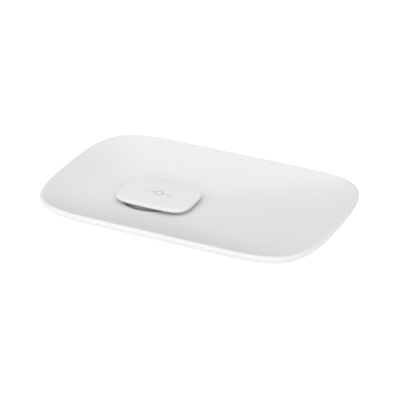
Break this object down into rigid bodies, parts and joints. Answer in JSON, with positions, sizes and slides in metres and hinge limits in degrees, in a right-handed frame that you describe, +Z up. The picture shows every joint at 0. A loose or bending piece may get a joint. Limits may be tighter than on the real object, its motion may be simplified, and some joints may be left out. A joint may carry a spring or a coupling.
{
  "type": "wireless charging tray",
  "caption": "Shallow dished desk tray with a rounded rectangular outline and a raised lozenge charging deck left of its middle; lower shell on feet with a rear cable bay and inlet.",
  "frame": {"origin": "on the surface that the feet stand on, under the middle of the tray", "axes": "+X along the tray, away from the charging deck; +Y to the back, where the cable bay opens; +Z up"},
  "size_m": [0.26, 0.1678, 0.03],
  "materials": {
    "shell_white": "satin moulded ABS",
    "deck_white": "satin moulded ABS",
    "cup_grey": "matt moulded ABS, grey",
    "seal_grey": "silicone rubber",
    "foot_grey": "silicone rubber with a fine grain",
    "screw_steel": "zinc plated steel",
    "coil_copper": "enamelled copper wire",
    "ferrite_dark": "sintered ferrite, matt",
    "backing_metal": "brushed aluminium",
    "tape_clear": "adhesive film",
    "foam_dark": "closed cell foam",
    "lead_sleeve": "silicone sleeved wire",
    "sense_sleeve": "sleeved wire",
    "bead_epoxy": "epoxy bead",
    "socket_cream": "moulded nylon",
    "board_green": "solder mask over glass fibre",
    "chip_black": "moulded epoxy",
    "capacitor_tan": "ceramic with tinned ends",
    "inductor_grey": "pressed iron powder",
    "crystal_metal": "nickel plated lid",
    "solder": "bright solder",
    "inlet_steel": "nickel plated steel",
    "contact_gold": "gold plated",
    "light_clear": "clear acrylic, frosted end",
    "led_body": "clear resin over a white body"
  },
  "bodies": {
    "root": {"tray_shell": "shell_white", "base_pan": "shell_white", "deck_cap": "deck_white", "head_cup": "cup_grey", "head_gasket": "seal_grey", "head_screws": "screw_steel", "coil_tape": "tape_clear", "coil_winding": "coil_copper", "ferrite_disc": "ferrite_dark", "backing_plate": "backing_metal", "foam_pads": "foam_dark", "coil_leads": "lead_sleeve", "thermistor": "bead_epoxy", "thermistor_leads": "sense_sleeve", "lead_plug": "socket_cream", "board_socket": "socket_cream", "main_board": "board_green", "charge_controller": "chip_black", "switch_transistors": "chip_black", "resonance_capacitors": "capacitor_tan", "power_inductor": "inductor_grey", "filter_capacitors": "capacitor_tan", "clock_crystal": "crystal_metal", "chip_resistors": "chip_black", "coil_pads": "solder", "usb_shell": "inlet_steel", "usb_tongue": "chip_black", "usb_contacts": "contact_gold", "status_led": "led_body", "light_pipe": "light_clear", "board_screws": "screw_steel", "case_screws": "screw_steel", "rubber_feet": "foot_grey"}
  },
  "joints": []
}
